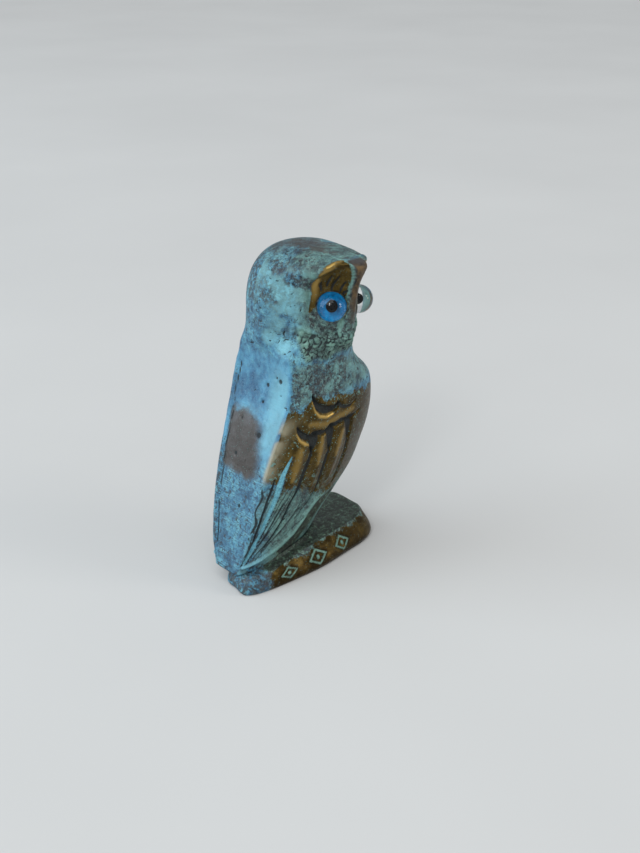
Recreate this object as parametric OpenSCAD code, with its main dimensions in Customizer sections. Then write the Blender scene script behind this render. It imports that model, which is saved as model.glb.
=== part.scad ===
// Small cast brass owl: body in profile, head turned square over the side of its plinth.
// +X is the way the body points, -Y is the side the face looks over, +Z is up.
// The origin is the middle of the resting face. Millimetres.

/* [Casting] */
// Height of the crown above the resting face
overall_h = 59.4; // [57:0.1:62]
// Length of the plinth from tail end to front
plinth_l = 34.0; // [33:0.1:36]
// Width of the plinth at its widest
plinth_w = 15.2; // [14.4:0.1:16]
// Height of the plinth under the chest
plinth_h = 4.6; // [4:0.1:5.2]
// Width of the body at the wings
body_w = 16.8; // [16:0.1:18]

/* [Head] */
// Distance of the head's middle ahead of the plinth's middle
head_x = 2.9; // [2.6:0.1:3.2]
// Width of the round of the head from side to side
head_w = 20.6; // [20:0.1:21.2]
// Distance of the nape behind the head's middle
nape_d = 10.1; // [9.6:0.1:10.6]
// Depth that each facial disc is sunk below its rim
disc_depth = 0.85; // [0.6:0.05:1]

/* [Eyes] */
// Diameter of each glass ball
eye_d = 4.9; // [4.6:0.1:5.1]
// Distance between the two eye centres
eye_gap = 6.3; // [6.2:0.1:6.6]
// Height of the eye centres
eye_z = 51; // [50.5:0.1:51.5]
// Distance of the eye centres ahead of the head's middle
eye_out = 10; // [9.8:0.05:10.3]
// Angle of each eye's axis away from straight ahead, degrees
eye_turn = 50; // [46:1:52]
// Thickness of the blue enamel behind the glass
iris_t = 0.12; // [0.08:0.01:0.2]
// Clearance between a glass and its cement
seat_gap = 0.02; // [0.01:0.01:0.03]

/* [Hidden] */

eye_r = eye_d / 2;
eye_back = 0.37 * eye_r;
socket_r = eye_r + 0.17;
socket_floor = eye_back + iris_t + 0.42;

// Body stations: height, middle, back plane, chest, half width, half width of back, roundness
ST = [
    [3.0, -11.4, -17.0, 1.2, 4.2, 3.0, 1.6],
    [5.5, -10.7, -16.6, 3.8, 4.8, 3.8, 1.6],
    [8.0, -9.8, -16.0, 5.8, 5.3, 4.3, 1.7],
    [12.0, -8.4, -15.0, 10.0, 6.0, 5.0, 1.8],
    [16.0, -7.0, -13.9, 13.8, 6.7, 5.5, 1.9],
    [20.0, -5.6, -12.8, 15.6, 7.4, 5.9, 2.0],
    [25.0, -3.6, -11.1, 16.9, 8.1, 6.4, 2.2],
    [30.0, -1.8, -9.2, 16.9, 8.4, 7.0, 2.4],
    [34.0, -0.2, -7.8, 15.9, 8.4, 7.4, 2.4],
    [38.0, 1.1, -7.0, 12.2, 8.3, 7.1, 2.3],
    [41.0, 2.0, -6.8, 10.7, 8.5, 6.6, 2.2],
    [44.0, 2.6, -7.0, 10.8, 9.1, 5.8, 2.1],
    [48.0, 2.9, -7.3, 12.2, 9.7, 4.6, 2.0]
];

// Beak ridge: height, distance ahead of the head's middle
RIDGE = [
    [41.0, 9.0], [43.0, 10.9], [45.0, 11.7], [47.0, 11.8], [50.0, 12.15], [53.0, 12.65],
    [55.0, 13.15], [57.0, 13.9], [58.2, 14.1], [58.9, 12.8], [59.2, 8.8], [59.4, 1.0]
];

ring_n = 60;
body_n = 38;
crown_z = overall_h;
cheek_z = 47.5;

function seg(t, z, i = 0) = (i >= len(t) - 2 || z < t[i + 1][0]) ? i : seg(t, z, i + 1);
function slope(t, k, i) =
    i == 0 ? (t[1][k] - t[0][k]) / (t[1][0] - t[0][0])
    : i == len(t) - 1 ? (t[i][k] - t[i - 1][k]) / (t[i][0] - t[i - 1][0])
    : (t[i + 1][k] - t[i - 1][k]) / (t[i + 1][0] - t[i - 1][0]);
function along(t, k, z0) =
    let (z = max(t[0][0], min(t[len(t) - 1][0], z0)), i = seg(t, z), h = t[i + 1][0] - t[i][0],
        u = (z - t[i][0]) / h)
    (2 * pow(u, 3) - 3 * u * u + 1) * t[i][k] + (pow(u, 3) - 2 * u * u + u) * h * slope(t, k, i)
    + (3 * u * u - 2 * pow(u, 3)) * t[i + 1][k] + (pow(u, 3) - u * u) * h * slope(t, k, i + 1);
function soft_min(a, b, k) =
    let (h = max(0, min(1, 0.5 + 0.5 * (b - a) / k)))
    b * (1 - h) + a * h - k * h * (1 - h);
function step01(a, b, x) =
    let (u = max(0, min(1, (x - a) / (b - a))))
    u * u * (3 - 2 * u);
function dome(z) =
    let (u = max(0, min(1, (z - cheek_z) / (crown_z - cheek_z))))
    pow(1 - pow(u, 2.7), 1 / 2.7);

// Height in the ridge and station tables that a height on the model stands for
function table_z(z) = z * 59.4 / crown_z;

// Angles crowd together round the face, where the surface bends most
function ring_angle(i) =
    let (t = 360 * i / ring_n)
    t - 25.8 * sin(t - 270);

// Radius of head and body about the station's middle
function round_r(a, z, zt) =
    let (c = cos(a), s = sin(a), xm = along(ST, 1, zt), xb = along(ST, 2, zt), xf = along(ST, 3, zt),
        ry = along(ST, 4, zt) * body_w / 16.8, wb = along(ST, 5, zt), nf = along(ST, 6, zt),
        rb = (xm - xb) / pow(1 - pow(min(wb / ry, 0.985), 2.3), 1 / 2.3),
        front = pow(pow(abs(c) / (xf - xm), nf) + pow(abs(s) / ry, nf), -1 / nf),
        rear = pow(pow(abs(c) / rb, 2.3) + pow(abs(s) / ry, 2.3), -1 / 2.3),
        flat_back = (xm - xb) / max(-c, 0.001),
        body = c > 0 ? front : soft_min(rear, flat_back, 0.5),
        k = dome(z), n = 1.25 + 0.75 * step01(54, 59, zt),
        nape = k / sqrt(pow(2 * c / head_w, 2) + pow(s / nape_d, 2)),
        vee = pow(pow(abs(c) / (k * head_w / 2), n)
            + pow(abs(s) / along(RIDGE, 1, zt), n), -1 / n),
        head = s > 0 ? nape : vee,
        h = step01(41.5, 45.5, zt))
    body * (1 - h) + head * h;

// 1 inside a facial disc, 0 outside it and on the beak ridge between the discs
function disc(ax, z) =
    let (d = pow(pow(abs(ax - 1.2) / 4.7, 2.5) + pow(abs(z - 51.9) / 6.8, 2.5), 1 / 2.5),
        bar = 0.9 + 0.06 * max(0, 56 - z) + 0.3 * max(0, z - 56))
    (1 - step01(0.8, 1.12, d)) * step01(bar - 0.35, bar + 0.35, ax);

function skin_point(a, z) =
    let (zt = table_z(z), r = round_r(a, z, zt), x = along(ST, 1, zt) + r * cos(a),
        y = r * sin(a) - 0.5 * (1 - step01(3, 18, zt)),
        m = disc(abs(x - head_x), zt) * step01(0.5, 3, -y))
    [x, y + m * (disc_depth + 0.5 * max(0, along(RIDGE, 1, zt) - 12.65)), z];

// Plinth outline: blunt at the front, drawn in towards the tail
function plinth_point(a, inset, z) =
    let (c = cos(a), s = sin(a), n = 3.6 + 3 * step01(0, 0.3, c) * step01(0, 0.3, s),
        r = pow(pow(abs(c) / (plinth_l / 2 - inset), n)
            + pow(abs(s) / (plinth_w / 2 - inset), n), -1 / n),
        x = r * c, y = r * s, t = step01(-1, 15, -x), front = step01(2, 13, x),
        near = step01(0, 4, -y), far = step01(0, 4, y))
    [
        x - 0.8 * t * near + 0.3 * front * far - 0.5 * front * near,
        y * (1 - 0.4 * t) - 2.6 * t + 1.3 * far * front - 0.9 * near * step01(-9, 2, -x)
            + 1.2 * near * step01(0.7, 4.6, z) * (1 - t),
        z * (1 - 0.3 * t)
    ];

function foot_z(a) = 3.8 + 0.8 * cos(a);

rings = concat(
    [
        [for (i = [0 : ring_n - 1]) plinth_point(ring_angle(i), 0.45, 0)],
        [for (i = [0 : ring_n - 1]) plinth_point(ring_angle(i), 0, 0.7)],
        [for (i = [0 : ring_n - 1]) plinth_point(ring_angle(i), 0.12, 2.0)],
        [for (i = [0 : ring_n - 1]) plinth_point(ring_angle(i), 0.65, plinth_h - 1)],
        [for (i = [0 : ring_n - 1]) plinth_point(ring_angle(i), 1.2, plinth_h - 0.25)],
        [for (i = [0 : ring_n - 1]) plinth_point(ring_angle(i), 1.8, plinth_h)]
    ],
    [
        for (j = [0 : body_n - 1])
            let (v = 1 - pow(1 - j / body_n, 1.4))
            [
                for (i = [0 : ring_n - 1])
                    let (a = ring_angle(i), z = foot_z(a) + (crown_z - foot_z(a)) * v)
                    skin_point(a, z)
            ]
    ]
);

module skin() {
    rows = len(rings);
    apex = rows * ring_n;
    points = concat(
        [for (row = rings) for (p = row) p],
        [[along(ST, 1, crown_z), 0, crown_z]]
    );
    sides = [
        for (j = [0 : rows - 2])
            for (i = [0 : ring_n - 1])
                let (k = (i + 1) % ring_n, a = j * ring_n + i, b = j * ring_n + k)
                each [[a, a + ring_n, b + ring_n], [a, b + ring_n, b]]
    ];
    under = [[for (i = [0 : ring_n - 1]) i]];
    crown = [
        for (i = [0 : ring_n - 1])
            [(rows - 1) * ring_n + i, apex, (rows - 1) * ring_n + (i + 1) % ring_n]
    ];
    polyhedron(points = points, faces = concat(under, sides, crown), convexity = 6);
}

// Puts a piece on the axis of one eye, side is -1 for the right eye and 1 for the left
module at_eye(side) {
    translate([head_x + side * eye_gap / 2, -eye_out, eye_z])
        rotate([0, 0, side * eye_turn])
            rotate([90, 0, 0])
                children();
}

module owl_casting() {
    color([0.53, 0.42, 0.22])
        difference() {
            skin();
            at_eye(-1)
                translate([0, 0, -socket_floor])
                    cylinder(h = 6, r = socket_r, $fn = 64);
            at_eye(1)
                translate([0, 0, -socket_floor])
                    cylinder(h = 6, r = socket_r, $fn = 64);
        }
}

pupil_r = 0.28 * eye_r;
pupil_t = 0.6 * eye_r;

module pupil_solid(grow) {
    lens_r = (pow(pupil_r, 2) + pow(pupil_t, 2)) / (2 * pupil_t);
    intersection() {
        translate([0, 0, -eye_back + pupil_t - lens_r])
            sphere(r = lens_r + grow, $fn = 64);
        translate([0, 0, -eye_back - grow])
            cylinder(h = pupil_t + 3 * grow + 0.5, r = pupil_r + grow, $fn = 64);
    }
}

module eye_glass(side) {
    color([0.75, 0.8, 0.8, 0.5])
        at_eye(side)
            difference() {
                sphere(r = eye_r, $fn = 96);
                translate([0, 0, -eye_back - 5])
                    cylinder(h = 5, r = eye_r + 1, $fn = 64);
                pupil_solid(0.01);
            }
}

module eye_pupil(side) {
    color([0.03, 0.03, 0.03])
        at_eye(side)
            pupil_solid(0);
}

module eye_iris(side) {
    color([0.05, 0.42, 0.72])
        at_eye(side)
            translate([0, 0, -eye_back - 0.01 - iris_t])
                cylinder(h = iris_t, r = 0.92 * eye_r, $fn = 64);
}

module eye_cement(side) {
    color([0.82, 0.84, 0.78, 0.6])
        at_eye(side)
            difference() {
                translate([0, 0, -socket_floor + 0.01])
                    cylinder(h = socket_floor - 0.05, r = socket_r - 0.01, $fn = 64);
                sphere(r = eye_r + seat_gap, $fn = 96);
                translate([0, 0, -eye_back - 0.02 - iris_t])
                    cylinder(h = 5, r = 0.93 * eye_r, $fn = 64);
            }
}

module eye_glass_right() { eye_glass(-1); }
module eye_glass_left() { eye_glass(1); }
module eye_pupil_right() { eye_pupil(-1); }
module eye_pupil_left() { eye_pupil(1); }
module eye_iris_right() { eye_iris(-1); }
module eye_iris_left() { eye_iris(1); }
module eye_cement_right() { eye_cement(-1); }
module eye_cement_left() { eye_cement(1); }

owl_casting();
eye_glass_right();
eye_pupil_right();
eye_iris_right();
eye_cement_right();
eye_glass_left();
eye_pupil_left();
eye_iris_left();
eye_cement_left();
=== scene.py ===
import bpy
import math
import numpy as np
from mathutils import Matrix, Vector


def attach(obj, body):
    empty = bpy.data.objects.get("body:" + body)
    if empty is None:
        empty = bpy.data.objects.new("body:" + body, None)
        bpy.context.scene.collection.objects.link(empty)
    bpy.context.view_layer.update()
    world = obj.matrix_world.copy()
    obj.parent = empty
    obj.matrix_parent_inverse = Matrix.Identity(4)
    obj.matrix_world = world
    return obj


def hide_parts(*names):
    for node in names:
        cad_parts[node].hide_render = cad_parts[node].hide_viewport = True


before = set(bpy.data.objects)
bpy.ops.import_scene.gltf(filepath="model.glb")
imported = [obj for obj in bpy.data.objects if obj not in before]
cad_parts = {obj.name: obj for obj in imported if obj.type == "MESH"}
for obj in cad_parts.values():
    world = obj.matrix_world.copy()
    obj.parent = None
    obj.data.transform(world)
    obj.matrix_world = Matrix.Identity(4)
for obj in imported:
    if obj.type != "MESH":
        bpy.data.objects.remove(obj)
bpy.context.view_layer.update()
MM = 0.001

# ---------------------------------------------------------------- surface of the casting, in mm
# z, middle x, back plane x, chest x, half width, half width of the back facet, roundness
STATIONS = np.array([
    [3.0, -11.4, -17.0, 1.2, 4.2, 3.0, 1.6],
    [5.5, -10.7, -16.6, 3.8, 4.8, 3.8, 1.6],
    [8.0, -9.8, -16.0, 5.8, 5.3, 4.3, 1.7],
    [12.0, -8.4, -15.0, 10.0, 6.0, 5.0, 1.8],
    [16.0, -7.0, -13.9, 13.8, 6.7, 5.5, 1.9],
    [20.0, -5.6, -12.8, 15.6, 7.4, 5.9, 2.0],
    [25.0, -3.6, -11.1, 16.9, 8.1, 6.4, 2.2],
    [30.0, -1.8, -9.2, 16.9, 8.4, 7.0, 2.4],
    [34.0, -0.2, -7.8, 15.9, 8.4, 7.4, 2.4],
    [38.0, 1.1, -7.0, 12.2, 8.3, 7.1, 2.3],
    [41.0, 2.0, -6.8, 10.7, 8.5, 6.6, 2.2],
    [44.0, 2.6, -7.0, 10.8, 9.1, 5.8, 2.1],
    [48.0, 2.9, -7.3, 12.2, 9.7, 4.6, 2.0]])
# z, reach of the brow and beak ridge
RIDGE = np.array([
    [41.0, 9.0], [43.0, 10.9], [45.0, 11.7], [47.0, 11.8], [50.0, 12.15], [53.0, 12.65],
    [55.0, 13.15], [57.0, 13.9], [58.2, 14.1], [58.9, 12.8], [59.2, 8.8], [59.4, 1.0]])
TOP = 59.4
CHEEK = 47.5
HEAD_X = 2.9
PLINTH_L, PLINTH_W = 34.0, 15.2


def along(table, col, z):
    z = np.clip(np.asarray(z, float), table[0, 0], table[-1, 0])
    x, y = table[:, 0], table[:, col]
    i = np.clip(np.searchsorted(x, z, side="right") - 1, 0, len(x) - 2)
    m = np.empty(len(x))
    m[0] = (y[1] - y[0]) / (x[1] - x[0])
    m[-1] = (y[-1] - y[-2]) / (x[-1] - x[-2])
    m[1:-1] = (y[2:] - y[:-2]) / (x[2:] - x[:-2])
    h = x[i + 1] - x[i]
    u = (z - x[i]) / h
    return ((2 * u**3 - 3 * u * u + 1) * y[i] + (u**3 - 2 * u * u + u) * h * m[i]
            + (3 * u * u - 2 * u**3) * y[i + 1] + (u**3 - u * u) * h * m[i + 1])


def ease(a, b, x):
    u = np.clip((x - a) / (b - a), 0, 1)
    return u * u * (3 - 2 * u)


def smin(a, b, k):
    h = np.clip(0.5 + 0.5 * (b - a) / k, 0, 1)
    return b * (1 - h) + a * h - k * h * (1 - h)


def dome(z):
    u = np.clip((z - CHEEK) / (TOP - CHEEK), 0, 1)
    return (1 - u**2.7) ** (1 / 2.7)


def round_r(a, z):
    c, s = np.cos(a), np.sin(a)
    xm, xb, xf, ry, wb, nf = [along(STATIONS, k, z) for k in range(1, 7)]
    rb = (xm - xb) / (1 - np.minimum(wb / ry, 0.985) ** 2.3) ** (1 / 2.3)
    front = ((abs(c) / (xf - xm)) ** nf + (abs(s) / ry) ** nf) ** (-1 / nf)
    rear = ((abs(c) / rb) ** 2.3 + (abs(s) / ry) ** 2.3) ** (-1 / 2.3)
    flat = (xm - xb) / np.maximum(-c, 1e-3)
    body = np.where(c > 0, front, smin(rear, flat, 0.5))
    k = dome(z)
    n = 1.25 + 0.75 * ease(54, 59, z)
    back = k / np.sqrt((c / 10.3) ** 2 + (s / 10.1) ** 2)
    vee = ((abs(c) / (10.3 * k)) ** n + (abs(s) / along(RIDGE, 1, z)) ** n) ** (-1 / n)
    head = np.where(s > 0, back, vee)
    h = ease(41.5, 45.5, z)
    return body * (1 - h) + head * h


def lean(z):
    return -0.5 * (1 - ease(3, 18, z))


def disc_reach(ax, z):
    return ((abs(ax - 1.2) / 4.7) ** 2.5 + (abs(z - 51.9) / 6.8) ** 2.5) ** (1 / 2.5)


def disc_mask(ax, z):
    bar = 0.9 + 0.06 * np.maximum(0, 56 - z) + 0.3 * np.maximum(0, z - 56)
    return (1 - ease(0.85, 1.08, disc_reach(ax, z))) * ease(bar - 0.35, bar + 0.35, ax)


def skin_point(a, z):
    r = round_r(a, z)
    x = along(STATIONS, 1, z) + r * np.cos(a)
    y = r * np.sin(a) + lean(z)
    m = disc_mask(abs(x - HEAD_X), z) * ease(0.5, 3, -y)
    return np.stack([x, y + m * (0.85 + 0.5 * np.maximum(0, along(RIDGE, 1, z) - 12.65)), z], -1)


def plinth_point(a, inset, z):
    c, s = np.cos(a), np.sin(a)
    n = 3.6 + 3 * ease(0, 0.3, c) * ease(0, 0.3, s)
    r = ((abs(c) / (PLINTH_L / 2 - inset)) ** n + (abs(s) / (PLINTH_W / 2 - inset)) ** n) ** (-1 / n)
    x, y = r * c, r * s
    t, front, near, far = ease(-1, 15, -x), ease(2, 13, x), ease(0, 4, -y), ease(0, 4, y)
    return np.stack([x - 0.8 * t * near + 0.3 * front * far - 0.5 * front * near,
                     y * (1 - 0.4 * t) - 2.6 * t + 1.3 * far * front - 0.9 * near * ease(-9, 2, -x)
                     + 1.2 * near * ease(0.7, 4.6, z) * (1 - t), z * (1 - 0.3 * t)], -1)


# ---------------------------------------------------------------- small tools on points
def lattice(i, j, k, seed):
    h = (i * 374761393 + j * 668265263 + k * 1440662683 + seed * 974711) & 0xFFFFFFFF
    h = ((h ^ (h >> 13)) * 1274126177) & 0xFFFFFFFF
    h = ((h ^ (h >> 15)) * 2246822519) & 0xFFFFFFFF
    return ((h ^ (h >> 16)) & 0xFFFF) / 65535.0


def noise(p, cell, seed=0):
    q = p / cell
    i = np.floor(q).astype(np.int64)
    f = q - i
    f = f * f * (3 - 2 * f)
    out = 0
    for dx in (0, 1):
        for dy in (0, 1):
            for dz in (0, 1):
                w = ((f[:, 0] if dx else 1 - f[:, 0]) * (f[:, 1] if dy else 1 - f[:, 1])
                     * (f[:, 2] if dz else 1 - f[:, 2]))
                out = out + w * lattice(i[:, 0] + dx, i[:, 1] + dy, i[:, 2] + dz, seed)
    return out


def clouds(p, cell, octaves=4, seed=0):
    out, amp, total = 0, 1.0, 0.0
    for o in range(octaves):
        out = out + amp * noise(p + 7.3 * o, cell, seed + o)
        total += amp
        amp *= 0.55
        cell *= 0.5
    return out / total


def cells(p, cell, seed=0):
    q = p / cell
    base = np.floor(q).astype(np.int64)
    near = np.full(len(p), 9.0)
    second = np.full(len(p), 9.0)
    tag = np.zeros(len(p))
    for dx in (-1, 0, 1):
        for dy in (-1, 0, 1):
            for dz in (-1, 0, 1):
                i = base + (dx, dy, dz)
                spot = np.stack([i[:, m] + 0.15 + 0.7 * lattice(i[:, 0], i[:, 1], i[:, 2], seed + m)
                                 for m in range(3)], -1)
                d = np.sqrt(((q - spot) ** 2).sum(1))
                closer = d < near
                second = np.where(closer, near, np.minimum(second, d))
                tag = np.where(closer, lattice(i[:, 0], i[:, 1], i[:, 2], seed + 9), tag)
                near = np.where(closer, d, near)
    return second - near, tag


def stroke(p, line):
    """Distance of each point from a drawn line, as a share of the line's half width there.

    p and the line's points have the same number of coordinates; the last entry of each of
    the line's points is its half width."""
    line = np.array(line, float)
    best = np.full(len(p), 99.0)
    for a, b in zip(line[:-1], line[1:]):
        v = b[:-1] - a[:-1]
        t = np.clip(((p - a[:-1]) @ v) / max(v @ v, 1e-9), 0, 1)
        d = np.sqrt(((p - a[:-1] - t[:, None] * v) ** 2).sum(1))
        best = np.minimum(best, d / (a[-1] + t * (b[-1] - a[-1])))
    return best


def inside(q, soft=0.45):
    return 1 - ease(1 - soft, 1 + soft, q)


def apart(p, spot):
    """Distance of each point from one spot."""
    return np.sqrt(((p - spot) ** 2).sum(1))


def region(p, poly, soft):
    """1 inside a closed outline, 0 outside, with a soft edge of the given half width."""
    poly = np.array(poly, float)
    best = np.full(len(p), 99.0)
    odd = np.zeros(len(p), bool)
    for a, b in zip(poly, np.roll(poly, -1, 0)):
        v = b - a
        t = np.clip(((p - a) @ v) / max(v @ v, 1e-9), 0, 1)
        best = np.minimum(best, np.sqrt(((p - a - t[:, None] * v) ** 2).sum(1)))
        if a[1] != b[1]:
            crossed = (p[:, 1] > a[1]) != (p[:, 1] > b[1])
            odd ^= crossed & (p[:, 0] < a[0] + (p[:, 1] - a[1]) * v[0] / v[1])
    return ease(-soft, soft, np.where(odd, best, -best))


# ---------------------------------------------------------------- the casting's grid
N_ANGLE = 300
N_SIDE, N_TOP, N_BODY = 24, 14, 276
N_FINE = 3000
FOOT_Z = 3.8
t = np.linspace(0, 360, N_ANGLE, endpoint=False)
angle = np.radians(t - 25.8 * np.sin(np.radians(t - 270)))
foot = FOOT_Z + 0.8 * np.cos(angle)

fine = 1 - (1 - np.linspace(0, 1, N_FINE)) ** 3
fine = np.minimum(fine, 1 - 1e-5)
step_len = 0
for deg in (200, 250, 300):
    line = skin_point(np.full(N_FINE, math.radians(deg)), FOOT_Z + (TOP - FOOT_Z) * fine)
    step_len = step_len + np.sqrt((np.diff(line, axis=0) ** 2).sum(1))
length = np.concatenate([[0], np.cumsum(step_len)])
share = np.interp(np.linspace(0, length[-1], N_BODY), length, fine)

edge_in = np.array([0.45, 0.0, 0.12, 0.65, 1.2, 1.8])
edge_z = np.array([0.0, 0.7, 2.0, 3.6, 4.35, 4.6])
s_of = np.concatenate([[0], np.cumsum(np.hypot(np.diff(edge_in), np.diff(edge_z)))])
s_new = np.linspace(0, s_of[-1], N_SIDE)
soft_in, soft_z = np.interp(s_new, s_of, edge_in), np.interp(s_new, s_of, edge_z)
for _ in range(2):
    soft_in[1:-1] = (soft_in[:-2] + 2 * soft_in[1:-1] + soft_in[2:]) / 4
    soft_z[1:-1] = (soft_z[:-2] + 2 * soft_z[1:-1] + soft_z[2:]) / 4
grid = [plinth_point(angle, i, z) for i, z in zip(soft_in, soft_z)]
start = skin_point(angle, foot)
for k in range(1, N_TOP + 1):
    u = k / (N_TOP + 1)
    row = grid[N_SIDE - 1] * (1 - u) + start * u
    row[:, 2] += 0.5 * max(0.0, u - 0.7) / 0.3 * u
    grid.append(row)
for s in share:
    grid.append(skin_point(angle, foot + (TOP - foot) * s))
grid = np.array(grid)
rows = len(grid)

du = np.roll(grid, -1, 1) - np.roll(grid, 1, 1)
dv = np.gradient(grid, axis=0)
normal = np.cross(du, dv)
normal /= np.maximum(np.linalg.norm(normal, axis=2, keepdims=True), 1e-9)
P = grid.reshape(-1, 3).copy()
N = normal.reshape(-1, 3)
row_id = np.repeat(np.arange(rows), N_ANGLE)
on_plinth = row_id < N_SIDE + N_TOP
owl = ~on_plinth
x, y, z = P[:, 0], P[:, 1], P[:, 2]
ny = N[:, 1]
XZ = P[:, [0, 2]]

# ---------------------------------------------------------------- carving and relief, in mm
lift = np.zeros(len(P))
dark = np.zeros(len(P))
cyan = np.zeros(len(P))
flank = ease(0.25, 0.6, abs(ny)) * owl * (1 - ease(42, 44, z))


def darken(amount):
    global dark
    dark = np.maximum(dark, amount)


def carve(mask, line, depth, shade=1.0, where=XZ, soft=0.45):
    global lift
    q = inside(stroke(where, line), soft) * mask
    lift -= depth * q
    darken(shade * q)


def raise_(mask, line, height, soft=0.7):
    global lift
    lift += height * inside(stroke(XZ, line), soft) * mask


# shoulder: a deep crescent running out to a shallow line, with a raised lip under it that later gets polish
# and a painted highlight
carve(flank, [(-2.9, 35.3, .15), (-2.4, 33.9, .45), (-1.7, 32.8, .62), (-.7, 32, .72), (.5, 31.5, .7),
              (1.7, 31.4, .5), (2.7, 31.6, .4), (3.2, 31.9, .5)], 0.8)
carve(flank, [(3.2, 32.2, .35), (4.3, 31, .36), (5.4, 30.5, .32), (6.6, 30.4, .25), (7.8, 31, .14)],
      0.45, 0.85)
raise_(flank, [(-3.2, 34, .25), (-2.6, 32.2, .4), (-1.6, 30.9, .5), (.2, 30.3, .5), (1.6, 30.5, .4),
               (3, 30.8, .3)], 0.22)
# the covert band's lower edge, with three bays between rounded feather tops
carve(flank, [(-6.2, 30.1, .15), (-5.7, 29, .42), (-4.9, 28.1, .6), (-3.9, 27.5, .5), (-2.5, 27.4, .45),
              (-1.2, 27.6, .5), (-.3, 27.4, .35), (1.1, 27.7, .5), (2.5, 27.9, .5), (4, 28.2, .5),
              (5.4, 28.1, .32), (6.8, 27.9, .5), (8, 28.1, .3), (9.2, 28.6, .15)], 0.7)
raise_(flank, [(-6.7, 29.2, .2), (-6, 27.6, .45), (-4.8, 26.5, .5), (-3.9, 26, .3)], 0.2)
carve(flank, [(-2.5, 27.1, 1.15), (-2.6, 25.9, .95), (-2.8, 24.5, .42)], 0.7)
carve(flank, [(1.6, 27.5, 1.0), (1.7, 25.4, .8), (1.8, 23.3, .4)], 0.7)
carve(flank, [(6.3, 27.7, .85), (6.6, 25.6, .62), (6.7, 23.8, .32)], 0.6)
raise_(flank, [(-.7, 26, .6), (-.9, 23.5, .9), (-1.3, 20, .8), (-2.1, 17, .5)], 0.25, soft=0.9)
raise_(flank, [(4.5, 26.2, .7), (4.1, 23.5, .9), (3.4, 20, .8), (2.6, 17, .5)], 0.25, soft=0.9)
raise_(flank, [(-5.3, 25.5, .8), (-6.1, 22.5, 1.0), (-7.0, 19.5, .8), (-8.4, 16.5, .5)], 0.25, soft=0.9)
# the long slots between the flight feathers, closing together at the tail
carve(flank, [(-2.8, 24.7, .42), (-3.1, 23.5, .5), (-3.7, 22, .55), (-4.4, 20.2, .55), (-4.9, 18.3, .5),
              (-5.7, 16.6, .42), (-7, 14.8, .33), (-8.3, 12.2, .3), (-10, 9.8, .27), (-12.7, 7.1, .2)],
      0.5, .95)
carve(flank, [(1.8, 23.3, .4), (1.3, 22.3, .48), (1, 20.7, .52), (.6, 18.9, .5), (.2, 17.2, .42),
              (-.6, 15.2, .3), (-2.2, 13.4, .25), (-5, 11.2, .2)], 0.45, .9)
carve(flank, [(6.7, 23.9, .3), (6.7, 21, .36), (6.2, 19, .36), (5.5, 16.9, .3), (4.6, 15, .2)], 0.35, .85)
carve(flank, [(-10.5, 21.2, .15), (-11, 19.5, .26), (-11.6, 17.8, .26), (-12.3, 15.6, .26),
              (-13.1, 13.2, .25), (-14, 10.8, .23), (-14.8, 8.4, .2), (-15.7, 6.6, .16),
              (-16.6, 4.9, .1)], 0.32, .8)
carve(flank, [(-6.2, 19, .12), (-7.4, 17, .24), (-9, 14.6, .28), (-11, 11.6, .25), (-13.3, 8.4, .2),
              (-15.3, 5.9, .14)], 0.25, .65)
carve(flank, [(-3.5, 14.8, .22), (-5.1, 12.7, .27), (-7.6, 10.3, .27), (-11, 8, .22), (-14, 5.6, .14)],
      0.22, .6)
carve(flank, [(-4.0, 12.9, .35), (-5.0, 12.4, .3)], 0.3, .6)
# the streak: a broad shallow groove that holds bright patina, with a dark notched edge
streak = [(-7.3, 24.8, .16), (-8, 23.4, .35), (-8.8, 21.8, .55), (-9.5, 19.8, .62), (-10.1, 17.6, .5),
          (-11, 15.4, .42), (-12.1, 13.2, .36), (-13, 11, .3), (-14.6, 8.2, .25), (-16, 5.6, .2)]
q = inside(stroke(XZ, streak), 0.35) * flank
lift -= 0.28 * q
cyan = np.maximum(cyan, q)
edge_q = stroke(XZ, [(a + .22 + w, b - .1, .13) for a, b, w in streak])
darken(.9 * inside(edge_q) * flank * (np.sin(z * 9.5) > -0.35))
fan = np.random.default_rng(5)
for n in range(26):
    u = n / 25
    head_x, head_z = -11.5 + 15.5 * u, 21.5 - 7.2 * u
    t0, t1 = fan.uniform(0.0, 0.55), fan.uniform(0.65, 0.97)
    bow = fan.uniform(-0.3, 0.5) + 0.5 * u
    pts = []
    for v in np.linspace(t0, t1, 6):
        w = fan.uniform(0.05, 0.13) * math.sin(math.pi * (0.08 + 0.84 * (v - t0) / (t1 - t0)))
        pts.append((head_x + (-16.6 - head_x) * v + fan.uniform(-.12, .12) + bow * math.sin(math.pi * v),
                    head_z + (4.8 - head_z) * v - bow * math.sin(math.pi * v), w + 0.03))
    carve(flank, pts, 0.1, fan.uniform(0.35, 0.8))
# the ridge of patina where the body stands on the plinth, and the shade under it
raise_(flank, [(4, 14.2, .2), (2, 13.6, .3), (-1.1, 12.2, .42), (-2.8, 10.2, .5), (-5.4, 8, .55),
               (-9.4, 6.5, .5), (-12.8, 5.5, .4), (-16.2, 4.8, .3)], 0.38, soft=.8)
carve(flank, [(4.8, 12.2, .3), (1.5, 11.4, .7), (-.6, 9.3, .9), (-3.2, 7.0, .8), (-6.5, 5.6, .5),
              (-10, 5, .3)], 0.25, .45, soft=.8)

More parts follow.
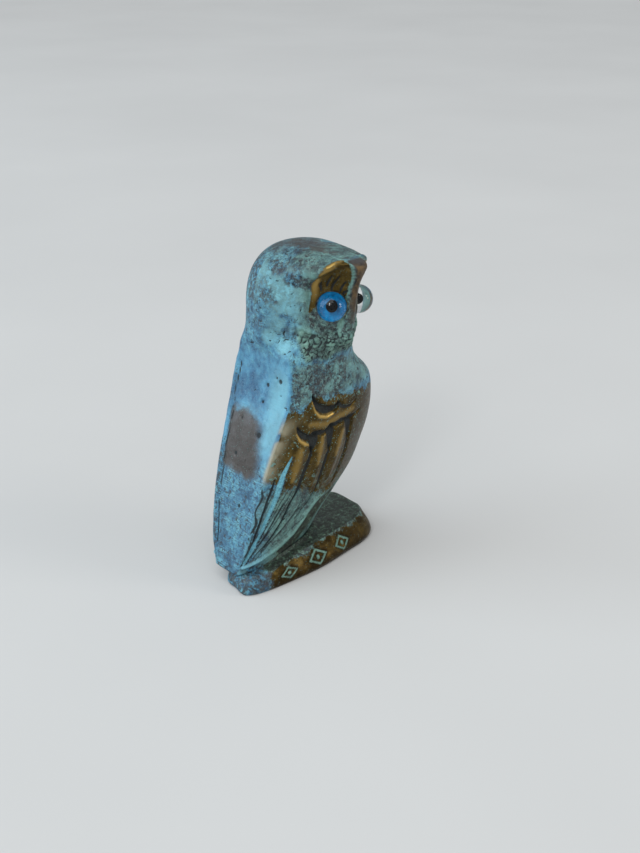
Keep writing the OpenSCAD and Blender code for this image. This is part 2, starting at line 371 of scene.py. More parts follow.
# the back facet: soft dents, a lip along its left edge with a dark line beside it
half = along(STATIONS, 5, z)
edge = abs(y - lean(z)) - half
rear = ease(0.35, 0.75, -N[:, 0]) * owl * (1 - ease(41, 43.5, z))
rim_zone = (x < along(STATIONS, 1, z) - 1) * owl * ease(5, 8, z) * (1 - ease(38, 41, z))
lift += 0.16 * np.exp(-((edge - 0.05) / 0.38) ** 2) * rim_zone
line_q = np.exp(-((edge + 1.15 + 0.12 * np.sin(z * 0.7)) / 0.2) ** 2) * rim_zone * (y > 0)
strip = inside(abs(edge + 0.4) / 0.5, 0.4) * rim_zone * (y > 0)
lift += 0.15 * strip - 0.15 * line_q
darken(0.5 * inside(abs(edge - 0.1) / 0.22, 0.5) * rim_zone * (y > 0)
       * ease(0.35, 0.6, clouds(P, 1.1, 3, 8)))
darken(0.95 * line_q * ease(0.3, 0.42, clouds(P, 1.5, 3, 6)))
low_line = (np.exp(-((edge - 0.1 + 0.15 * np.sin(z * 1.3)) / 0.13) ** 2) * rim_zone * (y < 0)
            * (1 - ease(19, 22, z)))
darken(0.9 * low_line * ease(0.25, 0.45, clouds(P, 0.8, 3, 5)))
DENTS = [((-7.3, -1.5, 36.4), .42, .25), ((-7.1, -4.5, 37.8), .5, .28), ((-7.1, -3.6, 38.2), .3, .2),
         ((-8.0, -.9, 33.3), .35, .3), ((-10, -2, 27.9), .6, .2), ((-7.4, 2.6, 38.4), .4, .2),
         ((-11.6, 2.4, 23.5), .4, .2), ((-14.2, -1.1, 15.2), .4, .2), ((-9.6, 3.1, 29.5), .35, .2)]
for spot, r, d in DENTS:
    b = inside(apart(P, spot) / r, 0.6)
    lift -= d * b
    darken(0.8 * b)

# head: the dished face with a rolled rim, strokes over each eye, and a groove by the ridge
ax = abs(x - HEAD_X)
face = ease(1.0, 3.0, -y) * ease(-0.2, 0.1, -ny) * owl
AZ = np.stack([ax, z], -1)
reach = disc_reach(ax, z)
FACE_LINE = [(1.2, 59.0), (1.8, 58.95), (2.4, 58.8), (3.2, 58.5), (4.1, 57.9), (4.7, 57.1), (4.95, 56.1),
             (4.9, 54.8), (4.95, 53.2), (5.2, 51.5), (5.5, 49.8), (5.5, 48), (5.1, 46.7), (4.2, 45.8),
             (3, 45.2)]
AYZ = np.stack([ax, y, z], -1)
rolled = inside(stroke(AYZ, [(1.7, -11.5, 58.8, .15), (2.4, -11.1, 58.65, .32), (3.2, -10.7, 58.4, .42),
                             (4.1, -10.2, 57.8, .48), (4.7, -9.6, 57.0, .48), (5.0, -9.0, 56.0, .44),
                             (5.0, -8.4, 54.8, .42), (4.9, -7.9, 53.4, .4), (5, -7.5, 51.8, .34),
                             (5.1, -7.25, 50.2, .22)]), 0.8) * face
RIM_SIDE = [(4.45, 56.9, .3), (4.6, 56, .36), (4.55, 54.8, .38), (4.65, 53.2, .36), (4.85, 51.6, .3),
            (5.1, 50.2, .2)]
rolled = np.maximum(rolled, inside(stroke(AZ, RIM_SIDE), 0.8) * face)
lift += 0.3 * rolled
rim_out = (inside(stroke(AYZ, [(3.4, -10.6, 58.95, .08), (4.4, -10.0, 58.35, .12), (5.2, -9.4, 57.3, .14),
                               (5.55, -8.8, 56.0, .15), (5.5, -8.1, 54.6, .14), (5.45, -7.6, 53.2, .14),
                               (5.6, -7.2, 51.5, .13), (5.9, -7.0, 49.8, .12), (5.9, -7.2, 48, .1)]), 0.7)
           * face)
darken(0.75 * rim_out * ease(0.42, 0.56, clouds(P, 0.8, 3, 17)))
for a, b in (((3.3, 56.3), (3.35, 54.5)), ((2.35, 56.3), (2.8, 54.0)), ((1.3, 55.1), (1.75, 53.6)),
             ((4.1, 55.1), (3.95, 53.7)), ((1.1, 53.7), (1.4, 53.1))):
    m = ((a[0] + b[0]) / 2 + 0.03, (a[1] + b[1]) / 2)
    carve(face, [(*a, .09), (*m, .16), (*b, .13)], 0.25, 1.0, AZ)
bar = 0.9 + 0.06 * np.maximum(0, 56 - z) + 0.3 * np.maximum(0, z - 56)
groove = np.exp(-((ax - bar - 0.1) / 0.19) ** 2) * face * ease(45.5, 47.5, z) * (1 - ease(59.0, 59.25, z))
lift -= 0.2 * groove * (1 - ease(57.5, 58.6, z))
ridge_side = np.exp(-((ax - bar + 0.3) / 0.16) ** 2) * face * ease(46, 48, z) * (1 - ease(57.6, 58.8, z))
darken(0.8 * ridge_side * ease(0.36, 0.6, clouds(P, 0.9, 3, 12)))

# neck: thick patches of patina like scales, with dark gaps
gap, tag = cells((P + 0.9 * np.stack([noise(P, 1.0, s) for s in (31, 32, 33)], -1)) * (1, 1, 1.25), 1.2, 3)
neck = (ease(40.2, 42.2, z + 1.5 * (noise(P, 2.0, 21) - .5))
        * (1 - ease(45.6, 47.6, z + 2 * (noise(P, 2.0, 22) - .5)))
        * ease(-6.0, -3.6, x + 1.5 * (noise(P, 1.5, 23) - .5)) * ease(-1.5, 1.5, -y + 0.9) * owl)
neck = neck * (1 - inside(apart(P, (-6.6, -4.0, 44.4)) / 2.6, 0.5))
neck_soft = np.maximum(neck, 0.35 * ease(40.6, 42.4, z) * (1 - ease(45.6, 47.2, z)) * (x > 2) * owl)
broken = ease(0.38, 0.55, clouds(P, 1.6, 3, 26))
lift += neck_soft * (0.36 * ease(0.02, 0.45, gap) - 0.2 + 0.16 * (tag - 0.5))
darken(neck_soft * (1 - ease(0.04, 0.18, gap)) * (0.45 + 0.5 * broken))
darken(0.5 * neck_soft * (tag > 0.9))
# chest and head: low plates of patina with worn edges, pits and short curly scratches
patch = clouds(P, 2.2, 4, 40)
high = ease(0.47, 0.56, patch)
rough_zone = ease(32.5, 35, z) * (1 - ease(39.3, 43.0, z + 3.5 * (noise(P, 1.6, 41) - 0.5))) * (1 - rear)
lift += 0.12 * rough_zone * (high - 0.5)
UNDER_EYE = [(1.2, 50), (2, 48.3), (4.5, 49.5), (5.6, 50), (5.4, 47), (4.2, 45.6), (1.5, 45)]
below_eye = region(AZ, UNDER_EYE, .5) * face
lumps = clouds(P, 0.9, 3, 45)
lift += 0.3 * below_eye * (lumps - 0.45)
darken(0.8 * below_eye * ease(0.56, 0.66, 1 - lumps))
lift += 0.05 * (clouds(P, 1.3, 3, 50) - 0.5) * owl
rng = np.random.default_rng(11)
pick = np.flatnonzero(owl & (z > 33) & (z < 58.9) & (row_id < rows - 4)
                      & ~((face > 0.5) & (reach < 1.15) & (z > 46)))
pick = pick[(rear[pick] < 0.5) | (rng.uniform(size=len(pick)) < 0.16)]
pick = pick[rng.permutation(len(pick))[:260]]
for n, i in enumerate(pick):
    c0 = P[i]
    tilt = rng.uniform(0, 2 * math.pi)
    e1 = np.cross(N[i], (0, 0, 1.0))
    e1 /= max(np.linalg.norm(e1), 1e-6)
    e2 = np.cross(N[i], e1)
    d1 = e1 * math.cos(tilt) + e2 * math.sin(tilt)
    d2 = e1 * math.cos(tilt + 1.0) + e2 * math.sin(tilt + 1.0)
    size = rng.uniform(0.18, 0.75)
    w = rng.uniform(0.08, 0.2)
    box = np.flatnonzero((abs(P - c0) < 1.8).all(1))
    pts = [(*(c0 - d1 * size), w * .4), (*c0, w), (*(c0 + d2 * size), w * .4)]
    g = inside(stroke(P[box], pts), 0.5)
    lift[box] -= 0.13 * g
    dark[box] = np.maximum(dark[box], rng.uniform(0.55, 1.0) * g)

# plinth: three plain lozenges in relief on the near side, and a softly uneven surface
side = on_plinth * (row_id < N_SIDE + 2) * ease(0.3, 0.6, -ny)
tt = ease(-1, 15, -x)
zz = z / (1 - 0.3 * tt)
orn = np.zeros(len(P))
for cx, w, h in ((-8.3, 1.9, 1.15), (-1.3, 2.2, 1.25), (5.4, 1.9, 1.15)):
    d = abs(x - cx) / w + abs(zz - 2.45) / h
    orn = np.maximum(orn, np.exp(-((d - 0.9) / 0.2) ** 2) * side)
    b = inside(np.hypot(x - cx, zz - 2.45) / 0.38, 0.5) * side
    orn = np.maximum(orn, b)
lift += 0.28 * orn
lift += 0.22 * (clouds(P, 2.6, 4, 60) - 0.5) * on_plinth * (row_id > 3)
crack = stroke(P, [(-14.6, -5.4, 3.6, .16), (-15.3, -5.0, 2.6, .2), (-15.4, -5.2, 1.6, .2),
                   (-15.0, -5.6, .9, .12)])
lift -= 0.2 * inside(crack)
darken(inside(crack))

lift *= (row_id > 1)
P = P + N * lift[:, None]
P[:, 2] = np.maximum(P[:, 2], 0)
P[row_id == 0, 2] = 0.0

# the two eye sockets, drilled square to each eye's axis
EYE_TURN, EYE_APART, EYE_Y, EYE_Z = 50, 3.15, -10.0, 51.0
SOCKET_R, SOCKET_RIM, SOCKET_DEPTH = 2.5, 2.62, 1.4465
EYES = []
for sgn, word in ((-1, "right"), (1, "left")):
    a = math.radians(EYE_TURN) * sgn
    EYES.append((word, np.array([HEAD_X + EYE_APART * sgn, EYE_Y, EYE_Z]),
                 np.array([math.sin(a), -math.cos(a), 0.0])))
socket = np.zeros(len(P))
for word, c0, axis in EYES:
    rel = P - c0
    s = rel @ axis
    out = rel - s[:, None] * axis
    rad = np.linalg.norm(out, axis=1)
    near_eye = (s > -4.5) & (s < 6) & (P[:, 2] > 40)
    snap = near_eye & (rad > SOCKET_R) & (rad < 2.74)
    P[snap] = P[snap] + out[snap] * ((SOCKET_RIM / rad[snap]) - 1)[:, None]
    hole = near_eye & (rad <= SOCKET_R) & (s > -SOCKET_DEPTH)
    P[hole] = P[hole] - (s[hole] + SOCKET_DEPTH)[:, None] * axis
    socket = np.maximum(socket, hole * 1.0)
    # painted shade: a darker ring around each socket
    socket = np.maximum(socket, 0.6 * near_eye * (1 - ease(2.6, 3.3, rad)))

# ---------------------------------------------------------------- where each finish lies
x, y, z = P[:, 0], P[:, 1], P[:, 2]
big = clouds(P, 5.0, 4, 70)
mid = clouds(P, 1.6, 4, 80)
top_edge = np.interp(x, [-12, -7.7, -5.7, -4.7, -3.2, 1, 4.7, 7.6, 12.4, 17],
                     [34.4, 33.9, 32.8, 33.2, 34.9, 33.7, 33.0, 32.6, 31.8, 31.5])
low_edge = np.interp(x, [-14, -11.6, -9.4, -6.2, -2.2, 2, 5.4, 10, 14],
                     [23.5, 21.8, 19.0, 18.3, 16.0, 13.7, 14.2, 15, 17])
wing = (ease(-2.8, 2.2, z - low_edge + 5.0 * (mid - 0.5))
        * (1 - ease(-0.9, 0.9, z - top_edge + 3.0 * (mid - 0.5))))
facet = ease(0.45, 0.8, -N[:, 0]) * ease(-0.9, -0.1, -edge) * owl * (1 - ease(40, 44, z))
wing = wing * (1 - facet) * owl
calm = 1 - 0.85 * ease(56.5, 58, z)
in_face = face * region(AZ + 0.5 * ((mid - 0.5) * calm)[:, None], [(0, 59.0)] + FACE_LINE + [(0, 45.2)], 0.1)
past_bar = ease(bar - 0.1, bar + 0.25, ax)
disc_brass = in_face * ease(49.6, 51.2, z + 0.55 * (ax - 4) + 2.5 * (mid - 0.5)) * past_bar
disc_brass = np.maximum(disc_brass, rolled * ease(49.6, 50.6, z))
disc_brass = disc_brass * (1 - ease(57.3, 58.2, z + 0.6 * (mid - 0.5)) * (x > HEAD_X))
beak = face * (1 - ease(bar - 0.35, bar - 0.05, ax)) * ease(46, 48, z) * ease(11.0, 12.6, -y)
crown = 0.6 * ease(59.12, 59.42, z + 0.7 * (mid - 0.5) + 0.03 * np.clip(y + 5, -3, 3)) * owl
side_all = on_plinth * (row_id < N_SIDE - 1)
tail_end = ease(-13.4, -11.0, x + 1.5 * (mid - 0.5))
plinth_brass = side_all * tail_end * (1 - ease(3.2, 4.8, zz + 2.6 * (mid - 0.5)))
brass = np.maximum.reduce([wing, disc_brass, plinth_brass])
# polished band along the ridge between back facet and side, painted pale cream as a reflection of the bright
# surroundings
ridge_edge = (np.exp(-((edge - 0.15) / 0.55) ** 2) * rim_zone * ease(20, 22.5, z) * (1 - ease(30, 33, z))
              * (y < 0))
tarnish = facet * ease(19.2, 21.8, z + 2.2 * (mid - 0.5)) * (1 - ease(29.0, 33.2, z + 3.0 * (mid - 0.5)))
tarnish = tarnish * (1 - 0.9 * ease(-1.0, 4.6, -y - 0.6 + 0.26 * (z - 27) + 1.2 * (mid - 0.5)))
tarnish = tarnish * (1 - strip)
crown = np.maximum(crown, 0.5 * ease(57.6, 58.8, z + 0.8 * (mid - 0.5)) * ease(-3, 2, y))
tarnish = np.maximum(tarnish, crown)
tarnish = np.maximum(tarnish, beak * 0.9)
warm = np.maximum(beak * (1 - ease(58.2, 58.9, z)), 0.35 * crown)
green = np.maximum.reduce([
    neck_soft * 0.9,
    rough_zone * 0.6 * ease(-8.5, -5.5, x),
    in_face * 0.8,
    groove,
    0.75 * ease(45, 47, z) * (1 - in_face) * (1 - ease(5.6, 8.2, ax)) * ease(1, 4, -y) * owl,
    0.5 * ease(54, 57, z) * ease(-7, -2, x) * owl,
    0.5 * ease(55, 58, z) * owl,
    0.25 * ease(44, 46, z) * owl,
    0.75 * (1 - facet) * (1 - ease(17, 22, z)) * owl * ease(-16, -9, x),
    on_plinth * tail_end,
    orn * 0.8])
# painted shade on the plinth top and in the hollow under the body
shade_top = (on_plinth * (row_id >= N_SIDE - 3)) * tail_end * (1 - 0.4 * ease(0.55, 0.65, mid))
HOLLOW = [(6, 12.4, .8), (2.5, 11.2, 1.3), (-.8, 8.6, 1.6), (-4, 6.2, 1.4), (-8, 4.9, .8)]
hollow = flank * inside(stroke(XZ, HOLLOW), .6)
shade_top = np.maximum(shade_top, 0.9 * hollow)
FOOT_LINE = [(2, 13.7, .25), (-1.1, 12.3, .35), (-2.8, 10.3, .4), (-5.4, 8.1, .4), (-9.4, 6.6, .4),
             (-12.8, 5.6, .3), (-16.2, 4.9, .3)]
rim_top = on_plinth * inside(abs(row_id - N_SIDE) / 2.5, .6) * ease(0.42, 0.6, mid)
# paler patina patches, plus painted highlights: the chest spot is a painted glint and the back-facet band a
# painted sheen
pale_patina_and_highlight = np.maximum.reduce([
    0.8 * inside(apart(P, (-6.9, -1.9, 45.2)) / 1.5, 0.4),
    0.8 * inside(apart(P, (-6.2, -4.4, 44.0)) / 1.5, 0.4),
    # painted highlight: a glint on the chest
    0.9 * inside(apart(P, (1.0, -8.4, 35.8)) / 0.9, 0.6),
    0.8 * (groove > 0.35),
    orn,
    flank * inside(stroke(XZ, FOOT_LINE), .6),
    neck_soft * ease(0.3, 0.7, tag) * ease(0.1, 0.35, gap),
    0.55 * flank * (1 - ease(15, 20, z)) * ease(0.35, 0.6, mid),
    0.5 * rough_zone * ease(2, 7, x) * ease(0.4, 0.6, mid),
    0.55 * rough_zone * ease(0.52, 0.62, patch),
    0.8 * ease(44.5, 47, z) * (1 - ease(56.5, 58.2, z)) * ease(-8.0, -5.4, x) * (1 - in_face)
    * ease(0.36, 0.56, clouds(P, 2.4, 3, 33)) * (y < 2) * owl,
    0.6 * rim_top,
    # painted sheen: the back facet lightens towards its right ridge
    0.75 * facet * ease(23, 28, z) * (1 - ease(37, 42, z)) * ease(1.2, 4.2, -y + 1.5 * (mid - 0.5))
    * (1 - ease(-0.9, -0.2, edge))])
# the back facet's glossy band: it lowers roughness, and in the colour it carries a painted sheen
sheen = facet * ease(21, 27, z) * (1 - ease(43, 46, z))
worn = np.maximum.reduce([
    0.8 * ease(49, 52, z + 2 * (mid - 0.5)) * ease(-1.5, 3.5, -x) * (1 - ease(57.5, 58.8, z)),
    0.45 * ease(44, 46, z) * ease(0.42, 0.56, big) * owl,
    0.2 * ease(44, 46, z) * owl,
    0.9 * rough_zone * (1 - 0.5 * ease(3, 8, x)),
    0.62 * (1 - facet) * (1 - ease(17, 22, z)) * owl,
    0.3 * facet * (1 - ease(19, 23, z)),
    0.2 * facet,
    0.8 * strip,
    0.9 * on_plinth,
    0.85 * in_face])
worn = worn * (1 - 0.4 * neck_soft)
brush = np.maximum(facet * (0.25 + 0.75 * (1 - ease(20, 24, z))),
                   ease(44.5, 46, z) * (1 - ease(48.5, 50, z)) * ease(3.5, 6, -x) * owl)
# lips and feather tops rubbed bright, with a painted highlight laid along them: share of polish and
# highlight, softness of the edge, line
RUBBED_AND_HIGHLIT = [
    (1.0, .8, [(-3.1, 34, .12), (-2.5, 32.2, .22), (-1.5, 31, .3), (.2, 30.45, .3), (1.6, 30.6, .2)]),
    (1.0, .8, [(-6.5, 29, .12), (-5.9, 27.7, .25), (-4.8, 26.7, .28), (-3.9, 26.3, .15)]),
    (0.45, .95, [(-.7, 26.2, .4), (-.9, 24.5, .6), (-1.2, 21.5, .3)]),
    (0.45, .95, [(4.6, 26.2, .4), (4.2, 24.5, .6), (3.7, 21.5, .3)]),
    (0.4, .95, [(-3.5, 30, .4), (0, 29, .6), (3.5, 29.4, .6), (7.5, 29.6, .3)]),
    (0.4, .95, [(-5.6, 25.6, .5), (-6.4, 22.5, .8), (-7.2, 20, .3)])]
# polish and painted highlight: the rubbed lines above plus the face's rolled rim
polish_and_highlight = np.maximum.reduce(
    [part * flank * inside(stroke(XZ, line), soft) for part, soft, line in RUBBED_AND_HIGHLIT]
    + [0.55 * rolled * ease(50.2, 55.5, z)])
polish_and_highlight = np.clip(polish_and_highlight, 0, 1)
# painted shade: the wing brass darkens towards the front, standing in for the dark surroundings it reflects;
# on the plinth brass the darkening is grime
grime_and_shade = plinth_brass * (0.35 + 0.65 * ease(0.42, 0.58, clouds(P, 2.4, 4, 99))) + wing * np.maximum(
    0.25 * ease(-6, 4, x), 0.85 * ease(2.5, 9, x)) * (0.7 + 0.3 * ease(0.4, 0.6, mid))
brass = brass * (1 - 0.9 * cyan) * (1 - orn)
ridge_edge = ridge_edge * ease(0.2, 0.5, mid)
scabs = wing * np.maximum(1 - ease(0.5, 6.5, z - low_edge), 0.6 * (1 - ease(0, 2.5, top_edge - z)))
# the painted shade in and around the sockets joins the dark marks
dark = np.clip(np.maximum(dark, socket * 0.8), 0, 1)

idx = np.arange(rows * N_ANGLE).reshape(rows, N_ANGLE)
a, b = idx[:-1], np.roll(idx, -1, 1)[:-1]
c, d = np.roll(idx, -1, 1)[1:], idx[1:]
quads = np.stack([a, b, c, d], -1).reshape(-1, 4)
apex = len(P)
P = np.vstack([P, [HEAD_X, 0, TOP]])
cap = [(int(idx[-1, k]), int(idx[-1, (k + 1) % N_ANGLE]), apex) for k in range(N_ANGLE)]
floor_face = [tuple(int(v) for v in idx[0][::-1])]

mesh = bpy.data.meshes.new("casting")
mesh.from_pydata([tuple(p) for p in (P * MM).tolist()], [], quads.tolist() + cap + floor_face)
for name, values in (("brass", brass), ("tarnish", tarnish), ("green", green), ("dark", dark),
                     ("cyan", cyan), ("shade_top", shade_top), ("pale_patina_and_highlight", pale_patina_and_highlight), ("facet", facet),
                     ("polished_edge_glare", ridge_edge), ("worn", worn), ("brush", brush), ("polish_and_highlight", polish_and_highlight),
                     ("grime_and_shade", grime_and_shade), ("sheen", sheen), ("warm", warm), ("scabs", scabs)):
    layer = mesh.attributes.new(name, "FLOAT", "POINT")
    layer.data.foreach_set("value", np.append(np.clip(values, 0, 1), values[-1]).astype(np.float32))
mesh.polygons.foreach_set("use_smooth", [True] * (len(quads) + len(cap)) + [False])
mesh.update()
casting = bpy.data.objects.new("owl_patinated_casting", mesh)
bpy.context.collection.objects.link(casting)


# ---------------------------------------------------------------- materials
def srgb(r, g, b):
    def lin(v):
        v /= 255
        return v / 12.92 if v <= 0.04045 else ((v + 0.055) / 1.055) ** 2.4
    return (lin(r), lin(g), lin(b), 1.0)


class Net:
    def __init__(self, name):
        self.m = bpy.data.materials.new(name)
        self.m.use_nodes = True
        self.t = self.m.node_tree
        self.t.nodes.clear()
        self.out = self.t.nodes.new("ShaderNodeOutputMaterial")
        pos = self.t.nodes.new("ShaderNodeTexCoord").outputs["Object"]
        self.pos = self.vec("SCALE", pos, scale=1000.0)

    def link(self, value, socket):
        if isinstance(value, bpy.types.NodeSocket):
            self.t.links.new(value, socket)
        elif value is not None:
            socket.default_value = value

    def vec(self, op, a, b=None, scale=None):
        n = self.t.nodes.new("ShaderNodeVectorMath")
        n.operation = op
        self.link(a, n.inputs[0])
        self.link(b, n.inputs[1])
        if scale is not None:
            n.inputs["Scale"].default_value = scale
        return n.outputs[0]

    def math(self, op, a, b=None, c=None, clamp=False):
        n = self.t.nodes.new("ShaderNodeMath")
        n.operation = op
        n.use_clamp = clamp
        for v, s in zip((a, b, c), n.inputs):
            self.link(v, s)
        return n.outputs[0]

    def mul(self, a, b):
        return self.math("MULTIPLY", a, b)

    def add(self, a, b):
        return self.math("ADD", a, b)

    def sub(self, a, b):
        return self.math("SUBTRACT", a, b)

    def most(self, a, b):
        return self.math("MAXIMUM", a, b)

    def noise(self, scale, detail=5.0, rough=0.6, stretch=None, distort=0.0, shift=(0, 0, 0)):
        p = self.pos
        if stretch:
            p = self.vec("MULTIPLY", p, stretch)
        p = self.vec("ADD", p, shift)
        n = self.t.nodes.new("ShaderNodeTexNoise")
        self.link(p, n.inputs["Vector"])
        n.inputs["Scale"].default_value = scale
        n.inputs["Detail"].default_value = detail
        n.inputs["Roughness"].default_value = rough
        n.inputs["Distortion"].default_value = distort
        return n.outputs[0]

    def voronoi(self, scale, feature="F1", shift=(0, 0, 0), warp=0.0):
        p = self.vec("ADD", self.pos, shift)
        if warp:
            w = self.t.nodes.new("ShaderNodeTexNoise")
            self.link(p, w.inputs["Vector"])
            w.inputs["Scale"].default_value = scale * 1.7
            off = self.vec("SCALE", self.vec("SUBTRACT", w.outputs["Color"], (0.5, 0.5, 0.5)), scale=warp)
            p = self.vec("ADD", p, off)
        n = self.t.nodes.new("ShaderNodeTexVoronoi")
        n.feature = feature
        self.link(p, n.inputs["Vector"])
        n.inputs["Scale"].default_value = scale
        return n.outputs["Distance"]

    def attr(self, name):
        n = self.t.nodes.new("ShaderNodeAttribute")
        n.attribute_name = name
        return n.outputs["Fac"]

    def ramp(self, fac, stops, smooth=False):
        n = self.t.nodes.new("ShaderNodeValToRGB")
        r = n.color_ramp
        r.interpolation = "EASE" if smooth else "LINEAR"
        while len(r.elements) < len(stops):
            r.elements.new(0.5)
        for e, (p, col) in zip(r.elements, stops):
            e.position = p
            e.color = col if isinstance(col, tuple) else (col, col, col, 1)
        self.link(fac, n.inputs[0])
        return n.outputs[0]

    def band(self, value, lo, hi, a=0.0, b=1.0):
        n = self.t.nodes.new("ShaderNodeMapRange")
        n.interpolation_type = "SMOOTHSTEP"
        for v, s in zip((value, lo, hi, a, b), n.inputs):
            self.link(v, s)
        return n.outputs[0]

    def mix(self, fac, a, b, blend="MIX"):
        n = self.t.nodes.new("ShaderNodeMix")
        n.data_type = "RGBA"
        n.blend_type = blend
        self.link(fac, n.inputs[0])
        self.link(a, n.inputs[6])
        self.link(b, n.inputs[7])
        return n.outputs[2]

    def fmix(self, fac, a, b):
        n = self.t.nodes.new("ShaderNodeMix")
        self.link(fac, n.inputs[0])
        self.link(a, n.inputs[2])
        self.link(b, n.inputs[3])
        return n.outputs[0]

    def bump(self, height, strength, distance, chain=None):
        n = self.t.nodes.new("ShaderNodeBump")
        n.inputs["Strength"].default_value = strength
        n.inputs["Distance"].default_value = distance
        self.link(height, n.inputs["Height"])
        self.link(chain, n.inputs["Normal"])
        return n.outputs[0]

    def shader(self, **kw):
        n = self.t.nodes.new("ShaderNodeBsdfPrincipled")
        for key, v in kw.items():
            self.link(v, n.inputs[key.replace("_", " ")])
        self.t.links.new(n.outputs[0], self.out.inputs[0])
        return n


def patina_material():
    k = Net("patinated_brass")
    brass, tarn, green, dark = k.attr("brass"), k.attr("tarnish"), k.attr("green"), k.attr("dark")
    cyan, top, pale_patina_and_highlight, facet, polished_edge_glare = (k.attr("cyan"), k.attr("shade_top"), k.attr("pale_patina_and_highlight"), k.attr("facet"),
                                      k.attr("polished_edge_glare"))
    worn, brush, polish_and_highlight, grime_and_shade = k.attr("worn"), k.attr("brush"), k.attr("polish_and_highlight"), k.attr("grime_and_shade")
    sheen = k.attr("sheen")
    big = k.noise(0.22, 5, 0.55)
    mid = k.noise(0.75, 7, 0.65, distort=0.4, shift=(3, 9, 1))
    flake = k.noise(1.15, 9, 0.72, distort=0.7, shift=(23, 2, 11))
    small = k.noise(2.4, 6, 0.68, distort=0.6, shift=(13, 2, 7))
    grit = k.noise(6.0, 4, 0.65, shift=(5, 5, 31))
    brushed = k.noise(1.0, 5, 0.62, stretch=(1.0, 0.4, 6.0), shift=(0, 0, 2))
    ragged = k.add(k.sub(small, 0.5), k.mul(k.sub(grit, 0.5), 0.7))
    level = k.add(k.mul(mid, 0.5), k.mul(big, 0.3))
    level = k.add(level, k.mul(small, 0.2))
    blue = k.ramp(level, [(0.38, srgb(32, 58, 80)), (0.45, srgb(50, 98, 128)), (0.51, srgb(76, 136, 164)),
                          (0.6, srgb(112, 178, 194))])
    sage = k.ramp(level, [(0.36, srgb(28, 36, 34)), (0.45, srgb(54, 76, 74)), (0.52, srgb(84, 118, 112)),
                          (0.6, srgb(122, 162, 150))])
    # painted sheen: a lighter, bluer patina on the back facet's glossy band
    blue = k.mix(k.mul(sheen, 0.6), blue,
                 k.ramp(big, [(0.4, srgb(46, 100, 138)), (0.58, srgb(86, 154, 190))]))
    skin = k.mix(k.band(k.add(green, k.mul(ragged, 0.5)), 0.1, 0.9), blue, sage)
    # where the patina is thin the brown metal shows through, in ragged flakes and fine specks
    lim = k.add(k.fmix(worn, 0.61, 0.465), k.mul(sheen, 0.08))
    thin = k.band(flake, k.sub(lim, 0.005), k.add(lim, 0.015))
    bare_brown = k.ramp(small, [(0.38, srgb(26, 32, 36)), (0.5, srgb(54, 58, 62)), (0.62, srgb(82, 80, 78))])
    skin = k.mix(k.mul(thin, 0.88), skin, bare_brown)
    dust = k.band(small, 0.575, 0.595)
    dust = k.mul(dust, k.mul(k.fmix(worn, 0.3, 0.8), k.fmix(sheen, 1.0, 0.25)))
    skin = k.mix(dust, skin, srgb(48, 54, 58))
    flecks = k.band(k.voronoi(2.6, "F1", (6, 3, 9), 0.5), 0.13, 0.2, 1.0, 0.0)
    flecks = k.mul(flecks, k.band(k.noise(0.45, 4, 0.6, shift=(4, 4, 9)), 0.47, 0.54))
    skin = k.mix(k.mul(flecks, k.fmix(sheen, 0.9, 0.15)), skin, srgb(22, 26, 30))
    # fine curling cracks and crisp pits, with paler crusts between them
    crust = k.band(k.noise(1.6, 5, 0.62, distort=0.8, shift=(15, 4, 2)), 0.52, 0.57)
    crust = k.mul(crust, k.mul(k.fmix(worn, 0.15, 0.7), k.fmix(green, 0.3, 1.0)))
    skin = k.mix(crust, skin, k.mix(green, srgb(122, 176, 186), srgb(124, 158, 144)))
    curl = k.math("ABSOLUTE", k.sub(k.noise(1.0, 2.5, 0.5, distort=1.6, shift=(7, 3, 5)), 0.5))
    curl = k.mul(k.band(curl, 0.016, 0.034, 1.0, 0.0),
                 k.band(k.noise(0.8, 3, 0.6, shift=(1, 2, 9)), 0.49, 0.54))
    curl = k.mul(curl, k.mul(k.fmix(worn, 0.55, 0.95), k.fmix(sheen, 1.0, 0.12)))
    skin = k.mix(curl, skin, srgb(20, 24, 27))
    lines = k.mul(k.band(brushed, 0.5, 0.6), brush)
    lines = k.mul(lines, k.band(mid, 0.4, 0.56, 0.15, 0.85))
    skin = k.mix(lines, skin, srgb(52, 76, 100))
    net = k.band(k.voronoi(0.9, "DISTANCE_TO_EDGE", (2, 4, 8), 0.9), 0.0, 0.045, 1.0, 0.0)
    net = k.mul(net, k.band(k.noise(0.5, 3, 0.5, shift=(9, 1, 4)), 0.5, 0.58))
    net = k.mul(net, k.fmix(facet, 0.85, 0.1))
    skin = k.mix(net, skin, srgb(34, 38, 40))
    # paler patina, and the painted glint and sheen
    skin = k.mix(k.mul(pale_patina_and_highlight, 0.7), skin, k.mix(green, srgb(132, 196, 210), srgb(116, 158, 138)))
    skin = k.mix(cyan, skin, k.ramp(small, [(0.35, srgb(70, 140, 168)), (0.6, srgb(132, 206, 222))]))
    # bare metal: polished brass on the worn parts, a brown-purple tarnish on the back and crown
    gold = k.ramp(k.add(k.mul(mid, 0.8), k.mul(small, 0.2)),
                  [(0.36, srgb(62, 50, 24)), (0.5, srgb(82, 67, 32)), (0.64, srgb(106, 88, 46))])
    # darken the brass: grime on the plinth, painted shade towards the front of the wing
    gold = k.mix(k.mul(grime_and_shade, 0.75), gold, srgb(38, 28, 10))
